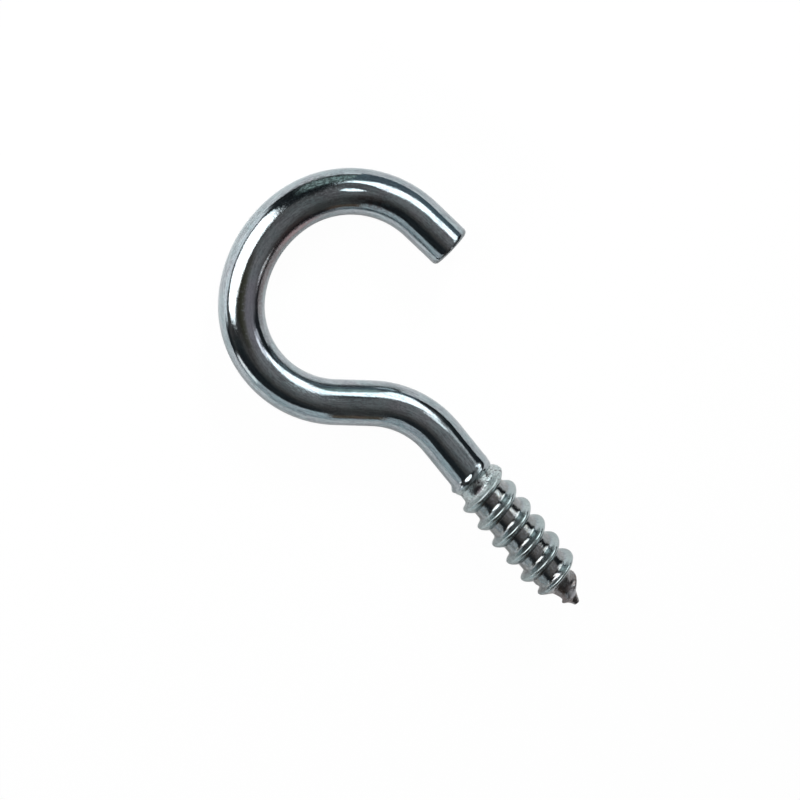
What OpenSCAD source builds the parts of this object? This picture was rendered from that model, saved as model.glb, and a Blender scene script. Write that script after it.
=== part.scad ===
// Screw hook bent from one length of round wire.
// The screw lies along X with its point towards +X, and every bend lies in the XY plane.
// The origin is on the screw's axis at the shoulder, where the smooth shank ends.

/* [Wire] */
// Diameter of the round wire
wire_d = 5.4; // [3:0.1:8]
// How much the wire's radius is drawn down in the tight bends
drawn = 0.01; // [0.01:0.01:0.05]

/* [Screw] */
// Length of the screw from the shoulder to the tip
screw_l = 20; // [14:0.5:50]
// Advance of the ridge in one turn
pitch = 2.73; // [2.3:0.01:4]
// Height of the ridge's crest above the wire's surface
crest_h = 0.65; // [0.3:0.05:1.2]
// Depth of the rolled root below the wire's surface
root_depth = 0.2; // [0.1:0.05:0.5]
// Width of the ridge along its crest
crest_w = 0.4; // [0.2:0.05:0.6]
// Run of the hollow flank that faces the bow
back_flank = 0.75; // [0.5:0.05:1.2]
// Run of the full flank that faces the point
front_flank = 0.85; // [0.3:0.05:0.9]
// Distance before the shoulder at which the ridge starts to rise out of the shank
run_in = 1.4; // [0.5:0.1:2]
// Angle round the axis at which the crest passes the shoulder, from +Y towards +Z
crest_angle = 236; // [0:1:359]
// Length of the tapered point
point_l = 5; // [3:0.5:10]
// Diameter of the blunt tip
tip_d = 0.7; // [0.3:0.1:1.5]

/* [Shank] */
// Length of the smooth straight shank
shank_l = 6; // [5:0.5:40]
// Length of the bevel that leads from the shank down to the screw's core
shoulder_l = 0.3; // [0.1:0.1:0.6]

/* [Reverse bend] */
// Radius inside the bend
neck_in_r = 8.4; // [4:0.1:20]
// Angle of the bend
neck_turn = 49; // [30:0.5:60]
// Straight wire between this bend and the bow
bridge_l = 4.4; // [1:0.1:10]

/* [Bow] */
// Radius inside the bend below the load
lower_in_r = 8.5; // [6:0.1:20]
// Angle of the bend below the load
lower_turn = 95; // [80:0.5:110]
// Radius inside the flatter back of the bow
back_in_r = 11.4; // [6:0.1:20]
// Angle of the flatter back
back_turn = 48.5; // [30:0.5:60]
// Radius inside the bend that leads to the free end
upper_in_r = 9.1; // [6:0.1:20]
// Angle of the bend that leads to the free end
upper_turn = 77.5; // [60:0.5:90]

/* [Free end] */
// Straight wire from the bow to the cut
nose_l = 5; // [2:0.1:12]
// Rounding of the cut's edge
nose_round = 0.5; // [0.1:0.1:1.2]

/* [Hidden] */
wire_r = wire_d / 2;
core_r = wire_r - root_depth;
tip_r = tip_d / 2;
ridge_h = root_depth + crest_h;
point_x = screw_l - point_l;

// Each leg of the wire is a straight length and then a bend: its inside radius, its signed angle
// and whether it is tight. A tight bend reaches a little way into the full wire on both sides.
legs = [
    [shank_l, neck_in_r, neck_turn, true],
    [bridge_l, lower_in_r, -lower_turn, true],
    [0, back_in_r, -back_turn, false],
    [0, upper_in_r, -upper_turn, true],
];
lap = 0.2;

// The ridge in section: place along the axis from the crest's middle, and share of its height
ridge = [
    [-crest_w / 2 - back_flank, 0],
    [-crest_w / 2 - 0.5 * back_flank, 0.1],
    [-crest_w / 2 - 0.2 * back_flank, 0.5],
    [-crest_w / 2, 1],
    [crest_w / 2, 1],
    [crest_w / 2 + 0.5 * front_flank, 0.7],
    [crest_w / 2 + front_flank, 0],
];
// Share of the ridge's height that is left along the point, from its foot to the tip
point_ridge = [[0, 1], [0.25, 1], [0.45, 0.45], [0.8, 0.35], [1, 0]];
// How far the ridge's strip starts inside the shank before it rises
buried_l = 1;
// How far the bevel's small end lies below the core's surface
bevel_seat = 0.1;
// Flats round one turn of the screw, and on the rounding of the cut
steps = 40;
round_steps = 6;
$fn = 64;

// The ridge and the core are one strip, wound from inside the shank until all of it is at the tip
strip_x = -run_in - buried_l;
strip_steps = ceil(steps * (screw_l - strip_x - ridge[0][0]) / pitch) + 1;
rows = strip_steps + steps;

// Radius of the core at x
function core_at(x) =
    x < point_x ? core_r : core_r + (tip_r - core_r) * (x - point_x) / point_l;

// Share of its full height that the ridge has at x
function rise_at(x) =
    let (lead = min(max((x + run_in) / pitch, 0), 1))
    lead * lookup((x - point_x) / point_l, point_ridge);

// A point of the strip: step j along the turns and point i of the ridge's section
function strip_point(j, i) =
    let (
        crest_x = strip_x + pitch * j / steps,
        x = min(crest_x + ridge[i][0], screw_l),
        r = core_at(x) + ridge[i][1] * ridge_h * rise_at(x),
        a = crest_angle + 360 * (strip_x / pitch + (j % steps) / steps)
    )
    [x, r * cos(a), r * sin(a)];

// After its last point a section meets the first point of the section one turn on
function strip_index(j, i) =
    i < len(ridge) ? j * len(ridge) + i : (j + steps) * len(ridge);

function distinct(a, b, c) = a != b && b != c && c != a;

module screw() {
    m = len(ridge);
    start_centre = (rows + 1) * m;
    tip_centre = start_centre + 1;
    points = [
        for (j = [0 : rows], i = [0 : m - 1]) strip_point(j, i),
        [strip_x + ridge[0][0] + pitch / 2, 0, 0],
        [screw_l, 0, 0],
    ];
    skin = [
        for (j = [0 : strip_steps - 1], i = [0 : m - 1])
            each [
                [strip_index(j, i), strip_index(j, i + 1), strip_index(j + 1, i)],
                [strip_index(j, i + 1), strip_index(j + 1, i + 1), strip_index(j + 1, i)],
            ],
    ];
    start = [
        for (j = [0 : steps - 1])
            [start_centre, strip_index(j, 0), strip_index(j + 1, 0)],
        for (i = [0 : m - 1])
            [start_centre, strip_index(0, i + 1), strip_index(0, i)],
    ];
    tip = [
        for (j = [strip_steps - steps : strip_steps - 1])
            [tip_centre, strip_index(j + 1, m), strip_index(j, m)],
    ];
    faces = [
        for (t = concat(skin, start, tip))
            if (distinct(points[t[0]], points[t[1]], points[t[2]]))
                t,
    ];
    polyhedron(points, faces);
}

// Straight wire from the origin along +X
module straight(l) {
    rotate([0, 90, 0])
        cylinder(h = l, r = wire_r);
}

// Wire bent from the origin, heading along +X, to the left for a positive angle
module bend(in_r, turn, tight) {
    r = in_r + wire_r;
    side = sign(turn);
    extra = tight ? lap / r * 180 / PI : 0;
    translate([0, side * r, 0])
        rotate([0, 0, (side > 0 ? -90 : 90 + turn) - extra])
            rotate_extrude(angle = abs(turn) + 2 * extra)
                translate([r, 0])
                    circle(r = tight ? wire_r - drawn : wire_r);
}

// Moves what follows to the end of such a bend
module past_bend(in_r, turn) {
    r = in_r + wire_r;
    side = sign(turn);
    translate([r * sin(abs(turn)), side * r * (1 - cos(turn)), 0])
        rotate([0, 0, turn])
            children();
}

// The straight free end, with its cut edge rounded
module nose() {
    edge = [
        for (k = [0 : round_steps])
            let (a = 90 * k / round_steps)
            [wire_r - nose_round * (1 - cos(a)), nose_l - nose_round * (1 - sin(a))],
    ];
    rotate([0, 90, 0])
        rotate_extrude()
            polygon(concat([[0, 0], [wire_r, 0]], edge, [[0, nose_l]]));
}

// The legs from number n on, and the free end after the last
module wire(n = 0) {
    if (n < len(legs)) {
        l = legs[n][0];
        if (l > 0)
            straight(l);
        translate([l, 0, 0]) {
            bend(legs[n][1], legs[n][2], legs[n][3]);
            past_bend(legs[n][1], legs[n][2])
                wire(n + 1);
        }
    } else {
        nose();
    }
}

// Bevel that closes the shank over the start of the screw's core
module shoulder() {
    rotate([0, 90, 0])
        cylinder(h = shoulder_l, r1 = wire_r, r2 = core_r - bevel_seat);
}

module screw_hook() {
    color("lightsteelblue") {
        rotate([0, 0, 180])
            wire();
        shoulder();
        screw();
    }
}

screw_hook();
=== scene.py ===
"""A zinc-plated screw hook, bent from one length of round wire, lying on a white table between lit panels."""
import math

import bpy
import numpy as np
from mathutils import Matrix, Vector, noise


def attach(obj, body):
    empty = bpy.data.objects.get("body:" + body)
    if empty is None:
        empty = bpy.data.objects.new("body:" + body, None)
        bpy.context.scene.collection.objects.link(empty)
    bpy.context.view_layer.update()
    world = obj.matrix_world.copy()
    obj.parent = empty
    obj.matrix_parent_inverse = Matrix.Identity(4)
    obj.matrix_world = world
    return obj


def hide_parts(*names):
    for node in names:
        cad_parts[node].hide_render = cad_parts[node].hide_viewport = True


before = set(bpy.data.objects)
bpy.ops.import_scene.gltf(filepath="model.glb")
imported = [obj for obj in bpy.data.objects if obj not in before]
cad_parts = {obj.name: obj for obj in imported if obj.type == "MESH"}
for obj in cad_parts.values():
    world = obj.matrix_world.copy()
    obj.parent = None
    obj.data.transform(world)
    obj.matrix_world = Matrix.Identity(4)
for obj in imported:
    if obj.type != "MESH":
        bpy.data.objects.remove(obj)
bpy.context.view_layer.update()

MM = 0.001

# Wire and bends, in millimetres and degrees, as the solid has them
WIRE_R = 2.7
BENDS = [
    # straight wire before the bend, radius inside it, and its angle: to the left is positive
    (6.0, 8.4, 49.0),
    (4.4, 8.5, -95.0),
    (0.0, 11.4, -48.5),
    (0.0, 9.1, -77.5),
    (5.0, None, 0.0),
]
CUT_ROUND = 0.5
CUT_BULGE = 0.15

# Nicks that the bending tool left: place along the wire, angle round it, reach along and across, and depth
NICKS = [
    (57.6, 96.0, 2.0, 0.36, 0.17),
]

# Screw
SCREW_L = 20.0
CORE_R = 2.5
PITCH = 2.73
POINT_L = 5.0
TIP_R = 0.35
# Where the slope from the wire's surface down to the core begins and ends
SHOULDER = (-0.1, 0.3)
# How far before the shoulder the ridge starts to rise, and how curved its rise is, which takes one turn
RUN_IN = 1.4
RUN_IN_CURVE = 1.4
# Share of the ridge's height that is left along the point, from its foot to the tip
POINT_RIDGE = [(0, 1), (0.25, 1), (0.42, 0.66), (0.6, 0.5), (0.8, 0.3), (1, 0)]
# Between these places the core gets thinner towards the point, and the ridge higher by as much
THINNER_RUN = (3, 14)
THINNER = 0.1

# The ridge in section: its hollow back flank faces the bow, and its full front flank faces the point
RIDGE_H = 0.85
CREST_W = 0.22
BACK_FLANK = 0.9
BACK_CURVE = 3.0
FRONT_FLANK = 0.95
FRONT_CURVE = 1.6
WORN_EDGE = 0.05

# Where the crest passes the shoulder, and how far each turn is shifted towards the point at -Y and at the top
CREST_ANGLE = 236.0
SIDE_SHIFT = 0.2
TOP_SHIFT = 0.36
# By what share the flanks are narrower, wider and fuller at the top and underneath than at the sides
FRONT_NARROWER = 0.42
BACK_WIDER = 0.1
FULLER = 0.25

# The mesh: flats round the wire, where screw rings give way to wire rings, and how far apart the rings are
FLATS = 96
SCREW_RINGS_END = 2.0
SCREW_STEP = 0.045
WIRE_STEP = 0.25
CUT_RINGS = 8


# The wire's path

def unit(heading):
    return np.array([math.cos(heading), math.sin(heading)])


def to_left(heading):
    return np.array([-math.sin(heading), math.cos(heading)])


def wire_path():
    """The legs as (start along, start point, heading, signed bend radius or None), and the whole length."""
    legs = []
    along, point, heading = 0.0, np.zeros(2), math.pi
    for straight, inside, turn in BENDS:
        if straight:
            legs.append((along, point, heading, None))
            point = point + straight * unit(heading)
            along += straight
        if inside is not None:
            radius = math.copysign(inside + WIRE_R, turn)
            legs.append((along, point, heading, radius))
            centre = point + radius * to_left(heading)
            heading += math.radians(turn)
            point = centre - radius * to_left(heading)
            along += math.radians(abs(turn)) * abs(radius)
    return legs, along


LEGS, WIRE_END = wire_path()


def centre_at(along):
    """The centre line's point and heading at a distance from the shoulder, which is negative on the screw."""
    if along <= 0:
        return np.array([-along, 0.0]), math.pi
    start, point, heading, radius = [leg for leg in LEGS if leg[0] <= along][-1]
    run = along - start
    if radius is None:
        return point + run * unit(heading), heading
    turned = heading + run / radius
    return point + radius * (to_left(heading) - to_left(turned)), turned


# The rolled thread

def smooth(low, high, value):
    t = np.clip((value - low) / (high - low), 0, 1)
    return t * t * (3 - 2 * t)


def ridge_table():
    """The ridge's share of its height at places from the crest's middle, with its edges worn a bit round."""
    steps, margin = 547, 30
    place = np.linspace(-PITCH / 2, PITCH / 2, steps)
    back = np.clip((place + CREST_W / 2 + BACK_FLANK) / BACK_FLANK, 0, 1) ** BACK_CURVE
    front = 1 - np.clip((place - CREST_W / 2) / FRONT_FLANK, 0, 1) ** FRONT_CURVE
    share = np.where(place < 0, back, front)
    reach = np.arange(-margin, margin + 1) * (place[1] - place[0])
    blur = np.exp(-0.5 * (reach / WORN_EDGE) ** 2)
    return place, np.convolve(np.pad(share, margin, mode="wrap"), blur / blur.sum(), "valid")


RIDGE = ridge_table()


def screw_radius(x, angle):
    """The screw's radius at x along its axis, and at angles in degrees from +Y towards +Z."""
    to_side, to_top = np.cos(np.radians(angle)), np.sin(np.radians(angle))
    shift = SIDE_SHIFT * (1 - to_side) / 2 + TOP_SHIFT * to_top
    turn = angle / 360 - CREST_ANGLE / 360 - (x - shift) / PITCH
    from_crest = -(turn - np.round(turn)) * PITCH
    off_side = to_top ** 2
    stretch = 1 + np.where(from_crest > 0, -FRONT_NARROWER, BACK_WIDER) * off_side
    share = np.interp(from_crest / stretch, *RIDGE) ** (1 - FULLER * off_side)
    lead = np.clip((x + RUN_IN) / PITCH, 0, 1) ** RUN_IN_CURVE
    at_point = np.clip((x - SCREW_L + POINT_L) / POINT_L, 0, 1)
    thinner = THINNER * smooth(*THINNER_RUN, x) * (1 - at_point)
    height = (RIDGE_H + thinner) * lead * np.interp(at_point, *zip(*POINT_RIDGE))
    core = WIRE_R + (CORE_R - WIRE_R) * smooth(*SHOULDER, x) + (TIP_R - CORE_R) * at_point - thinner
    return core + height * share + lumps(x, angle) + spur(x, angle)


def lumps(x, angle):
    """Unevenness that the rolling left, most of all where the thread starts."""
    middle, reach = -0.1, 0.9
    everywhere, at_start = 0.012, 0.07
    depth = everywhere + at_start * math.exp(-((x - middle) / reach) ** 2)
    y, z = WIRE_R * np.cos(np.radians(angle)), WIRE_R * np.sin(np.radians(angle))
    rise = [noise.noise(Vector((1.1 * x, 0.8 * b, 0.8 * c))) for b, c in zip(y, z)]
    return depth * smooth(-2.2, -0.8, x) * np.array(rise)


def spur(x, angle):
    """The small sharp end of the ridge near the tip."""
    place, reach = 18.95, 0.22
    turned, width = 185, 34
    height = 0.28
    across = (angle - turned + 180) % 360 - 180
    return height * np.exp(-((x - place) / reach) ** 2 - (across / width) ** 2)


def drift(x):
    """How far the thread's axis runs out of true, towards +Y."""
    at_shoulder, slope, towards_point = -0.086, 0.0096, 0.04
    return smooth(-1.0, 0.6, x) * (at_shoulder + slope * x) + towards_point * smooth(*THINNER_RUN, x)


def wire_radius(along, angle):
    """The plain wire's radius, with its nicks."""
    radius = np.full(len(angle), WIRE_R)
    for place, turned, reach, width, depth in NICKS:
        away = (angle - turned + 180) % 360 - 180
        across = np.radians(away) * WIRE_R
        radius -= depth * np.exp(-((along - place) / reach) ** 2 - (across / width) ** 2)
    return radius


# The hook's mesh

def ring_places():
    """Distances from the shoulder at which the mesh has a ring, from the point to near the cut."""
    screw = np.arange(-SCREW_L, SCREW_RINGS_END, SCREW_STEP)
    last = WIRE_END - CUT_ROUND - 0.1
    wire = np.linspace(SCREW_RINGS_END, last, round((last - SCREW_RINGS_END) / WIRE_STEP))
    return np.concatenate([screw, wire])


def hook_mesh():
    """One closed skin over point, thread, bends and cut; each vertex keeps its place on the unbent wire."""
    angles = np.arange(FLATS) * 360 / FLATS
    verts, unbent = [], []

    def ring(along, radii, off_axis=0.0):
        centre, heading = centre_at(along)
        across = np.array([math.sin(heading), -math.cos(heading)])
        y = radii * np.cos(np.radians(angles)) + off_axis
        z = radii * np.sin(np.radians(angles))
        verts.append(np.column_stack([centre[0] + across[0] * y, centre[1] + across[1] * y, z]))
        unbent.append(np.column_stack([np.full(FLATS, along), y, z]))

    for along in ring_places():
        if along < SCREW_RINGS_END:
            ring(along, screw_radius(-along, angles), drift(-along))
        else:
            ring(along, wire_radius(along, angles))
    for k in range(1, CUT_RINGS + 1):
        t = math.radians(90 * k / CUT_RINGS)
        edge_r = WIRE_R - CUT_ROUND * (1 - math.cos(t))
        ring(WIRE_END - CUT_ROUND * (1 - math.sin(t)), np.full(FLATS, edge_r))
    for share in (0.75, 0.5, 0.25):
        ring(WIRE_END + CUT_BULGE * (1 - share ** 2), np.full(FLATS, (WIRE_R - CUT_ROUND) * share))
    cut, _ = centre_at(WIRE_END + CUT_BULGE)
    verts.append(np.array([[SCREW_L, drift(SCREW_L), 0], [cut[0], cut[1], 0]]))
    unbent.append(np.array([[-SCREW_L, 0, 0], [WIRE_END + CUT_BULGE, 0, 0]]))

    rings = len(verts) - 1
    faces = grid_faces(rings, FLATS)
    tip, last = rings * FLATS, (rings - 1) * FLATS
    for k in range(FLATS):
        faces.append((tip, (k + 1) % FLATS, k))
        faces.append((tip + 1, last + k, last + (k + 1) % FLATS))
    mesh = bpy.data.meshes.new("hook")
    mesh.from_pydata((np.concatenate(verts) * MM).tolist(), [], faces)
    place = mesh.attributes.new("unbent", "FLOAT_VECTOR", "POINT")
    place.data.foreach_set("vector", np.concatenate(unbent).astype(np.float32).ravel())
    mesh.shade_smooth()
    return mesh


def grid_faces(rings, corners):
    """Four-sided faces between closed rings that have this many corners each."""
    faces = []
    for r in range(rings - 1):
        for k in range(corners):
            a, b = r * corners + k, r * corners + (k + 1) % corners
            faces.append((a, b, b + corners, a + corners))
    return faces


# Shader maths

class Value:
    """A number, colour or vector in a material; Python's operators on it add Math nodes."""

    def __init__(self, tree, socket):
        self.tree = tree
        self.socket = socket

    def maths(self, operation, *terms):
        return self.tree.node("Math", {"operation": operation}, dict(enumerate(terms)))

    def vectors(self, operation, *terms, output=0):
        return self.tree.node("VectorMath", {"operation": operation}, dict(enumerate((self, *terms))), output)

    def __add__(self, other):
        return self.maths("ADD", self, other)

    def __radd__(self, other):
        return self.maths("ADD", other, self)

    def __rsub__(self, other):
        return self.maths("SUBTRACT", other, self)

    def __mul__(self, other):
        return self.maths("MULTIPLY", self, other)

    def __rmul__(self, other):
        return self.maths("MULTIPLY", other, self)

    def __or__(self, other):
        return self.maths("MAXIMUM", self, other)


class Nodes:
    """The node tree of a material or of the world."""

    def __init__(self, owner):
        owner.use_nodes = True
        self.tree = owner.node_tree
        self.tree.nodes.clear()

    def node(self, kind, settings=None, inputs=None, output=0):
        """A node of a type, with its settings, then the values or links of its sockets."""
        made = self.tree.nodes.new("ShaderNode" + kind)
        for name, value in (settings or {}).items():
            setattr(made, name, value)
        for name, value in (inputs or {}).items():
            if isinstance(value, Value):
                self.tree.links.new(value.socket, made.inputs[name])
            else:
                made.inputs[name].default_value = value
        return Value(self, made.outputs[output]) if made.outputs else None

    def finish(self, kind, surface):
        """The output node, for a material or for the world."""
        self.node("Output" + kind, {}, {"Surface": surface})

    def blend(self, share, low, high):
        """Two colours mixed by a share."""
        return self.node("MixRGB", {}, {"Fac": share, "Color1": low, "Color2": high})

    def mixed(self, share, first, second):
        """Two shaders mixed by a share."""
        return self.node("MixShader", {}, {0: share, 1: first, 2: second})

    def ramp(self, value, low, high):
        """0 below low and 1 above high, smoothly."""
        inputs = {"Value": value, "From Min": low, "From Max": high}
        return self.node("MapRange", {"interpolation_type": "SMOOTHSTEP"}, inputs)

    def patch(self, where, centre, reach, edge):
        """1 inside an egg-shaped patch round a centre, fading to 0 outside it."""
        away = where.vectors("SUBTRACT", centre).vectors("DIVIDE", reach).vectors("LENGTH", output="Value")
        return 1 - self.ramp(away, 1 - edge, 1 + edge)

    def speckle(self, where, stretch, by, scale, detail, rough):
        """Noise, with its place stretched and then moved."""
        place = self.node("Mapping", {}, {"Vector": where, "Scale": stretch, "Location": by})
        inputs = {"Vector": place, "Scale": scale, "Detail": detail, "Roughness": rough}
        return self.node("TexNoise", {}, inputs)


def rgb(red, green, blue):
    return (red, green, blue, 1.0)


# Finishes

EVEN = (1.0, 1.0, 1.0)
HERE = (0.0, 0.0, 0.0)
NOISES = {
    # stretch along the wire and across it, shift, scale, detail, roughness
    "cloud": (EVEN, HERE, 0.45, 4, 0.5),
    "lines": ((0.12, 1.0, 1.0), HERE, 5.0, 4, 0.6),
    "grain": (EVEN, HERE, 3.5, 5, 0.65),
    "fine": ((0.6, 1.0, 1.0), (2, 5, 9), 4.5, 4, 0.75),
    "specks": ((0.7, 1.0, 1.0), (3, 8, 5), 2.2, 6, 0.75),
    "tint": ((0.5, 0.7, 0.7), (7, 3, 1), 0.9, 3, 0.5),
}
MARKS = {
    # centre and reach on the unbent wire, softness of the outline, and the noise that breaks the mark up, with
    # the two values between which it fades in
    "scuff": ((53.6, -1.2, 2.3), (3.7, 1.1, 1.2), 0.4, ("fine", 0.42, 0.53)),
    "pits": ((23.0, 0.5, 2.65), (4.5, 0.4, 1.0), 0.4, ("grain", 0.46, 0.58)),
    # painted shade on the inner side of the bow
    "bow_inside_painted_shade": ((45.0, 2.05, 1.75), (10.5, 0.7, 1.0), 0.5, ("grain", 0.15, 0.55)),
    "brown_end": ((60.8, 1.1, 2.4), (3.0, 0.7, 0.8), 0.6, ("specks", 0.35, 0.6)),
    # a painted reflection of dark olive surroundings on the top of the wire
    "painted_olive_reflection": ((37.5, 0.05, 2.7), (5.5, 0.45, 1.0), 0.5, ("grain", 0.25, 0.5)),
    # painted reddish shade on the inner side of the bow
    "bow_inside_painted_red_shade": ((49.0, 1.9, 1.9), (3.2, 0.7, 0.7), 0.5, ("grain", 0.3, 0.55)),
    "lilac": ((36.0, 1.1, 2.4), (5.5, 0.8, 0.6), 0.5, None),
    "blot": ((-1.15, -0.6, 2.5), (0.4, 0.75, 0.8), 0.4, None),
    # a painted highlight near the point: a pale patch that stands in for a glint
    "painted_tip_highlight": ((-18.4, 0.4, 0.95), (0.6, 0.55, 0.8), 0.5, None),
}


def zinc_plate():
    """Bright zinc with a clear blue passivate: drawn lines along the wire, pits, scuffs and faint tints, and
    painted light: shade on the inner side of the bow, in the thread's roots and towards the point, sheen on the
    crests, a reflection on the top and a highlight near the point.
    """
    material = bpy.data.materials.new("zinc_plate")
    n = Nodes(material)
    unbent = n.node("Attribute", {"attribute_name": "unbent"}, {}, "Vector")
    along = n.node("SeparateXYZ", {}, {"Vector": unbent}, "X")
    from_axis = unbent.vectors("MULTIPLY", (0.0, 1.0, 1.0)).vectors("LENGTH", output="Value")
    noises = {name: n.speckle(unbent, *row) for name, row in NOISES.items()}

    def broken(name, low, high):
        return n.ramp(noises[name], low, high)

    marks = {}
    for name, (centre, reach, edge, breaks) in MARKS.items():
        marks[name] = n.patch(unbent, centre, reach, edge)
        if breaks:
            marks[name] = marks[name] * broken(*breaks)
    scuff, pits, painted_tip_highlight = marks["scuff"], marks["pits"], marks["painted_tip_highlight"]
    # painted shade on the inner side of the bow, joined with a brown patch on the last bend
    brown = marks["bow_inside_painted_shade"] | marks["brown_end"]

    # Rolled metal is duller than drawn wire, most of all on the ridge, and blotchy where the thread starts; the
    # ridge's paler colour is painted sheen, and the roots' darker, browner colour is painted shade
    rolled = 1 - n.ramp(along, -1.2, 0.2)
    ridge = rolled * n.ramp(from_axis, 2.58, 3.0)
    root = rolled * (1 - n.ramp(from_axis, 2.52, 2.75))
    start = n.ramp(along, -2.4, -1.5) * (1 - n.ramp(along, -0.25, 0.25))
    tip = rolled * n.ramp(along, -15.6, -17.6)
    sheared = n.ramp(along, WIRE_END - 0.75, WIRE_END - 0.1)

    # Layers of colour, each over the one before, with the share in which it shows
    plate = n.blend(broken("tint", 0.35, 0.65), rgb(0.315, 0.40, 0.42), rgb(0.375, 0.385, 0.415))
    for share, colour in [
        (0.5 * broken("grain", 0.45, 0.65), (0.22, 0.25, 0.26)),
        (0.75 * broken("fine", 0.42, 0.58), (0.215, 0.235, 0.255)),
        (0.45 * broken("lines", 0.42, 0.62), (0.50, 0.56, 0.585)),
        (0.3 * broken("cloud", 0.4, 0.7), (0.43, 0.49, 0.51)),
        # painted sheen: the thread's crests paler
        (0.6 * ridge, (0.48, 0.55, 0.545)),
        # painted shade: the thread's roots darker and browner, broken by lighter specks that stand in for glints
        (0.3 * root, (0.29, 0.28, 0.285)),
        (0.35 * root * broken("grain", 0.40, 0.54), (0.17, 0.15, 0.12)),
        (0.35 * root * broken("specks", 0.52, 0.64), (0.50, 0.49, 0.43)),
        # painted shade: darker brown towards the point, carrying on the roots' painted shade
        (tip * (0.35 + 0.6 * broken("grain", 0.35, 0.6)), (0.19, 0.155, 0.15)),
        # painted highlight near the point, a pale patch that stands in for a glint
        (0.9 * painted_tip_highlight, (0.72, 0.72, 0.76)),
        (start * broken("specks", 0.42, 0.50), (0.60, 0.67, 0.67)),
        (start * broken("specks", 0.54, 0.60), (0.10, 0.09, 0.10)),
        (0.85 * marks["blot"], (0.06, 0.045, 0.055)),
        (0.65 * scuff, (0.06, 0.07, 0.07)),
        # painted shade on the inner side of the bow, and a brown patch on the last bend
        (0.85 * brown, (0.13, 0.10, 0.10)),
        # painted reflection of dark olive surroundings on the top of the wire
        (0.9 * marks["painted_olive_reflection"], (0.12, 0.13, 0.085)),
        # painted reddish shade on the inner side of the bow
        (0.6 * marks["bow_inside_painted_red_shade"], (0.36, 0.24, 0.25)),
        (0.5 * marks["lilac"], (0.37, 0.355, 0.43)),
        (0.75 * sheared, (0.13, 0.135, 0.135)),
    ]:
        plate = n.blend(share, plate, rgb(*colour))

    rough = 0.05
    for amount, where in [
        (0.05, broken("lines", 0.45, 0.8)), (0.04, broken("cloud", 0.45, 0.7)), (0.04, rolled), (0.14, ridge),
        (0.15, start), (0.45, painted_tip_highlight), (0.06, scuff), (0.04, pits), (0.10, brown),
    ]:
        rough = rough + amount * where

    fine, grain = noises["fine"], noises["grain"]
    height = 0.12 * noises["lines"] + 0.25 * grain + 0.05 * fine
    for amount, where, texture in [
        (-0.1, scuff, fine), (-0.5, pits, fine), (1.8, start, grain), (1.2, tip, grain), (0.4, root, grain),
    ]:
        height = height + amount * where * texture
    normal = n.node("Bump", {}, {"Strength": 0.3, "Distance": 0.0001, "Height": height})
    n.finish("Material", n.node(
        "BsdfPrincipled", {}, {"Base Color": plate, "Metallic": 1.0, "Roughness": rough, "Normal": normal}
    ))
    return material


# Camera

HOOK_MIDDLE = Vector((-12.587, -1.026, 0)) * MM
THREAD_MIDDLE = Vector((7, 0, 0)) * MM
CAMERA_SLANT = math.radians(7)
CAMERA_TURN = math.radians(50.99)
CAMERA_DISTANCE = 176.55 * MM
LENS_MM = 67.5
SENSOR_MM = 36.0

ALONG_SCREW = Vector((math.cos(CAMERA_SLANT), 0, math.sin(CAMERA_SLANT)))
TO_CAMERA = Vector((-math.sin(CAMERA_SLANT), 0, math.cos(CAMERA_SLANT)))
ACROSS = Vector((0, 1, 0))
RIGHT = math.cos(CAMERA_TURN) * ALONG_SCREW + math.sin(CAMERA_TURN) * ACROSS
UP = -math.sin(CAMERA_TURN) * ALONG_SCREW + math.cos(CAMERA_TURN) * ACROSS


def axes_matrix(x, y, z, place):
    """An object's matrix from its three axes and its place."""
    return Matrix.Translation(place) @ Matrix((x, y, z)).transposed().to_4x4()


def add_object(name, data):
    made = bpy.data.objects.new(name, data)
    bpy.context.scene.collection.objects.link(made)
    return made


def set_camera():
    data = bpy.data.cameras.new("camera")
    data.lens = LENS_MM
    data.sensor_width = SENSOR_MM
    data.clip_start = 0.005
    camera = add_object("camera", data)
    camera.matrix_world = axes_matrix(RIGHT, UP, TO_CAMERA, HOOK_MIDDLE + CAMERA_DISTANCE * TO_CAMERA)
    bpy.context.scene.camera = camera


def direction(azimuth, tilt):
    """A direction from the hook: azimuth anticlockwise from the picture's right, tilt from the camera's axis."""
    a, t = math.radians(azimuth), math.radians(tilt)
    return math.sin(t) * (math.cos(a) * RIGHT + math.sin(a) * UP) + math.cos(t) * TO_CAMERA


# Table and room

TABLE_R = 0.8
TABLE_CORNERS = 128
TABLE_BY_EYE = 0.98
TABLE_IN_METAL = 0.15
# Where the hook touches the table, along the screw's axis: the thread's crest and the back of the bow
CREST_TOUCHES, BOW_TOUCHES = 2.9, -37.6
ROOM_R = 0.82
ROOM_RINGS = 12
ROOM_CORNERS = 48
ROOM_DARK = rgb(0.028, 0.034, 0.038)
ROOM_DULL = rgb(0.098, 0.094, 0.090)
ROOM_LIGHT = rgb(0.340, 0.333, 0.338)
ROOM_PARTS = {
    # direction of the middle, and the cosines of the angles from it between which the part begins
    "lower_left": (236, 55, 0.82, 0.95),
    "top": (112, 44, 0.83, 0.94),
    "right": (10, 40, 0.55, 1.05),
    "low_right": (20, 73, 0.93, 0.975),
}


def seen_as_white(n, by_eye=1.0, in_metal=1.0):
    """How white the backdrop looks by eye, and in metal or glass; 0 for rays that light the scene."""
    camera, glossy, through = (
        n.node("LightPath", {}, {}, ray) for ray in ("Is Camera Ray", "Is Glossy Ray", "Is Transmission Ray")
    )
    return camera * by_eye | glossy * in_metal | through * in_metal


def add_mesh(name, verts, faces, material):
    mesh = bpy.data.meshes.new(name)
    mesh.from_pydata(verts, [], faces)
    mesh.materials.append(material)
    return add_object(name, mesh)


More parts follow.
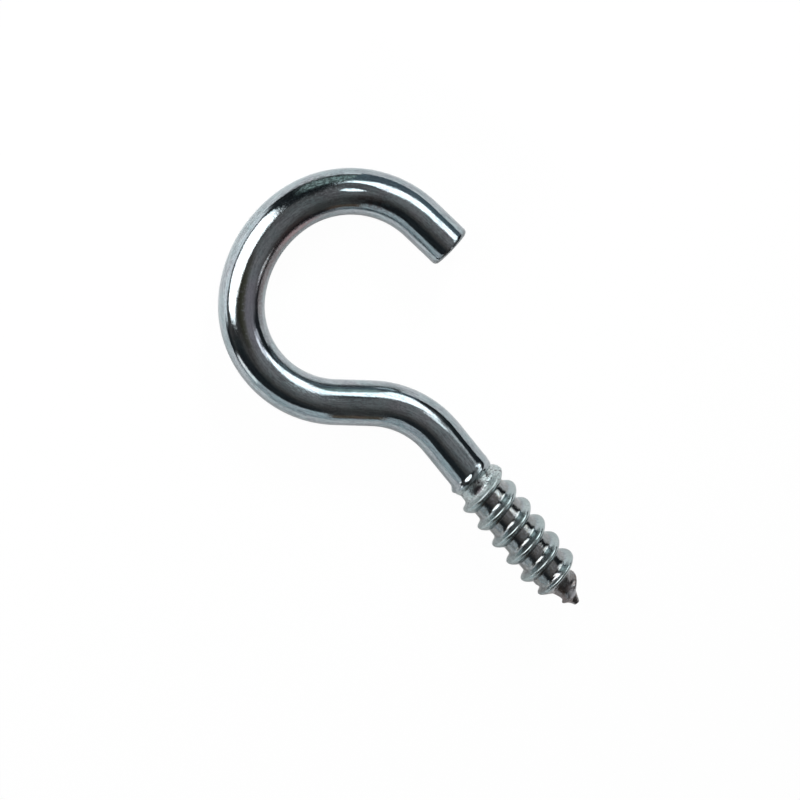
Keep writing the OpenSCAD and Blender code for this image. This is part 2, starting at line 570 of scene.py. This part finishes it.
def table():
    """A round white table that touches the thread's crest and the back of the bow."""
    material = bpy.data.materials.new("white_table")
    n = Nodes(material)
    lit = n.node("BsdfDiffuse", {}, {"Color": rgb(0.9, 0.9, 0.9)})
    white = n.node("Emission", {}, {"Color": rgb(1, 1, 1), "Strength": 1.0})
    n.finish("Material", n.mixed(seen_as_white(n, TABLE_BY_EYE, TABLE_IN_METAL), lit, white))
    crest_r = CORE_R + RIDGE_H
    slope = (crest_r - WIRE_R) / (CREST_TOUCHES - BOW_TOUCHES)
    verts = []
    for k in range(TABLE_CORNERS):
        t = 2 * math.pi * k / TABLE_CORNERS
        x, y = TABLE_R * math.cos(t), TABLE_R * math.sin(t)
        verts.append((x, y, -crest_r * MM - slope * (x - CREST_TOUCHES * MM)))
    floor = add_mesh("table", verts, [tuple(range(TABLE_CORNERS))], material)


def dark_room():
    """A dome over the table, which the metal shows between the lights: dull brown above, dark on three sides."""
    material = bpy.data.materials.new("dark_room")
    n = Nodes(material)
    place = n.node("TexCoord", {}, {}, "Object").vectors("NORMALIZE")
    height = n.node("SeparateXYZ", {}, {"Vector": place}, "Z")
    part = {}
    for name, (azimuth, tilt, low, high) in ROOM_PARTS.items():
        near = place.vectors("DOT_PRODUCT", tuple(direction(azimuth, tilt)), output="Value")
        part[name] = n.ramp(near, low, high)
    ceiling = n.ramp(height, 0.16, 0.42)
    for name in ("low_right", "lower_left", "top"):
        ceiling = ceiling * (1 - part[name])
    brown = n.blend(part["right"], ROOM_DULL, ROOM_LIGHT)
    shade = n.blend(ceiling, ROOM_DARK, brown)
    n.finish("Material", n.node("Emission", {}, {"Color": shade, "Strength": 1.0}))
    verts = []
    for r in range(ROOM_RINGS + 1):
        t = 0.5 * math.pi * r / ROOM_RINGS
        for k in range(ROOM_CORNERS):
            a = 2 * math.pi * k / ROOM_CORNERS
            verts.append((
                ROOM_R * math.sin(t) * math.cos(a),
                ROOM_R * math.sin(t) * math.sin(a),
                ROOM_R * math.cos(t),
            ))
    dome = add_mesh("dark_room", verts, grid_faces(ROOM_RINGS + 1, ROOM_CORNERS), material)
    dome.visible_camera = False


# Panels, cards and lamp

PANELS = [
    # name, azimuth, tilt, distance, soft edge, colour, strength, the point that it faces, and its outline
    ("left_panel", 164, 40, 130, 3, (1, 1, 1), 4, HOOK_MIDDLE, [
        (-71, 30), (-63, 45), (-41, 53), (0, 55), (33, 48), (46, 26), (39, -14),
        (22, -28), (11, -42), (5, -55), (-12, -57), (-24, -55), (-41, -38), (-57, -6),
    ]),
    ("right_panel", 60, 70, 80, 6, (0.93, 0.985, 1.0), 3.2, HOOK_MIDDLE, [
        (-42, -30), (-36, -16), (-23, -7), (-9, 2), (8, 6), (18, 0), (25, -14), (31, -28),
        (38, -33), (39, -50), (28, -68), (14, -66), (2, -58), (-10, -49), (-22, -41), (-37, -36),
    ]),
    ("side_panel", 60, 70, 80, 6, (0.97, 1.0, 1.0), 1.1, HOOK_MIDDLE,
     [(-66, -42), (-64, -18), (-46, -12), (-46, -40)]),
    ("shank_panel", 60, 70, 81, 6, (0.95, 0.99, 1.0), 2.2, HOOK_MIDDLE,
     [(-56, -38), (-54, -60), (-26, -62), (-26, -37)]),
    ("thread_card", 17, 56, 25, 1.2, (0.97, 1.0, 1.0), 2.3, THREAD_MIDDLE,
     [(-4.5, -4.8), (-1.6, 3.6), (9.8, 0.2), (7.2, -8.6)]),
    ("blue_flag", 60, 70, 36, 0.6, (0.15, 0.20, 0.23), 1.0, HOOK_MIDDLE,
     [(24, -6), (16, -2.6), (12, -1.4), (7, -0.3), (2.5, 0.3), (-5, 0.8), (-5, 10), (24, 10)]),
]
SIDE_LAMP = (70, 58, 300, 50, 0.65)
CARDS = [
    # name, distance, height of the foot, soft edge, colour, strength, and its top as azimuths and heights
    ("front_card", 110, -6, 8, (0.86, 0.96, 1.0), 0.74, [
        (198, 36), (206, 46), (220, 58), (235, 70), (245, 78), (255, 84), (262, 84), (264, 18), (290, 18),
    ]),
    ("bright_card", 108, 14, 8, (1.0, 1.0, 0.98), 1.8, [(200, 36), (219, 50)]),
    ("brown_card", 112, 6, 10, (0.165, 0.125, 0.095), 1.0, [(260, 60), (290, 60)]),
    ("back_card", 110, -6, 6, (0.95, 0.98, 1.0), 1.5, [(128, 30), (186, 30)]),
    ("green_card", 112, 14, 12, (0.78, 1.0, 0.95), 0.6, [(80, 84), (117, 84)]),
]
CARD_STEPS = 40
CARD_END_STEPS = 4
CARD_FOOT_SHARE = 0.72


def glow(name, colour, strength):
    """Even light, which fades out towards the edges that the mesh marks with a share of 0."""
    material = bpy.data.materials.new(name)
    n = Nodes(material)
    share = n.node("Attribute", {"attribute_name": "share"}, {}, "Fac")
    light = n.node("Emission", {}, {"Color": rgb(*colour), "Strength": strength})
    n.finish("Material", n.mixed(n.ramp(share, 0.0, 1.0), n.node("BsdfTransparent"), light))
    return material


def add_light(name, verts, faces, shares, material):
    """A lit mesh that the camera doesn't see, with a share of light at each corner."""
    made = add_mesh(name, verts, faces, material)
    edge = made.data.attributes.new("share", "FLOAT", "POINT")
    edge.data.foreach_set("value", shares)
    made.visible_camera = False
    made.visible_shadow = False


def panel(name, azimuth, tilt, distance, soft, colour, strength, facing, outline):
    """A flat panel with a soft edge of this width inside its outline. The outline is in millimetres: x towards
    larger azimuths, y away from the camera's axis."""
    x_axis = direction(azimuth + 90, 90)
    y_axis = direction(azimuth, tilt + 90)
    middle = [sum(corner[k] for corner in outline) / len(outline) for k in (0, 1)]
    inner = []
    for x, y in outline:
        away = math.hypot(x - middle[0], y - middle[1])
        keep = max(1 - soft / away, 0.1)
        inner.append((middle[0] + keep * (x - middle[0]), middle[1] + keep * (y - middle[1])))
    place = facing + distance * MM * direction(azimuth, tilt)
    corners = [place + x * MM * x_axis + y * MM * y_axis for x, y in outline + inner]
    m = len(outline)
    faces = [tuple(range(m, 2 * m))]
    faces += [(k, (k + 1) % m, m + (k + 1) % m, m + k) for k in range(m)]
    shares = [0.0] * m + [1.0] * m
    add_light(name, [tuple(c) for c in corners], faces, shares, glow(name, colour, strength))


def low_card(name, distance, foot, soft, colour, strength, tops):
    """A curved card that stands round one side of the hook, with soft top and ends."""
    verts, faces, shares = [], [], []
    first, last = tops[0][0], tops[-1][0]
    for k in range(CARD_STEPS + 1):
        azimuth = first + (last - first) * k / CARD_STEPS
        top = float(np.interp(azimuth, *zip(*tops)))
        a = math.radians(azimuth)
        outward = math.cos(a) * RIGHT + math.sin(a) * UP
        outward.z = 0
        place = HOOK_MIDDLE + distance * MM * outward.normalized()
        at_end = min(1, k / CARD_END_STEPS, (CARD_STEPS - k) / CARD_END_STEPS)
        for z, share in ((foot, CARD_FOOT_SHARE), (max(top - soft, foot + 1), 1.0), (top, 0.0)):
            verts.append((place.x, place.y, z * MM))
            shares.append(share * at_end)
        if k:
            b = 3 * k
            faces += [(b - 3, b, b + 1, b - 2), (b - 2, b + 1, b + 2, b - 1)]
    add_light(name, verts, faces, shares, glow(name, colour, strength))


def side_lamp(azimuth, tilt, distance, size, power):
    """A soft lamp that throws the hook's shadow on the table to the other side; the metal doesn't show it."""
    data = bpy.data.lights.new("side_lamp", "AREA")
    data.size = size * MM
    data.energy = power
    lamp = add_object("side_lamp", data)
    towards = direction(azimuth, tilt)
    sideways = direction(azimuth + 90, 90)
    place = HOOK_MIDDLE + distance * MM * towards
    lamp.matrix_world = axes_matrix(sideways, towards.cross(sideways), towards, place)
    lamp.visible_glossy = False
    lamp.visible_camera = False


def studio():
    world = bpy.data.worlds.new("world")
    bpy.context.scene.world = world
    n = Nodes(world)
    n.finish("World", n.node("Background", {}, {"Color": rgb(1, 1, 1), "Strength": seen_as_white(n)}))
    table()
    dark_room()
    for row in PANELS:
        panel(*row)
    side_lamp(*SIDE_LAMP)
    for row in CARDS:
        low_card(*row)


def main():
    bpy.context.scene.view_settings.view_transform = "Standard"
    set_camera()
    studio()
    hook = add_object("zinc_screw_hook", hook_mesh())
    hook.data.materials.append(zinc_plate())
    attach(hook, "root")
    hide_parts("screw_hook")


main()
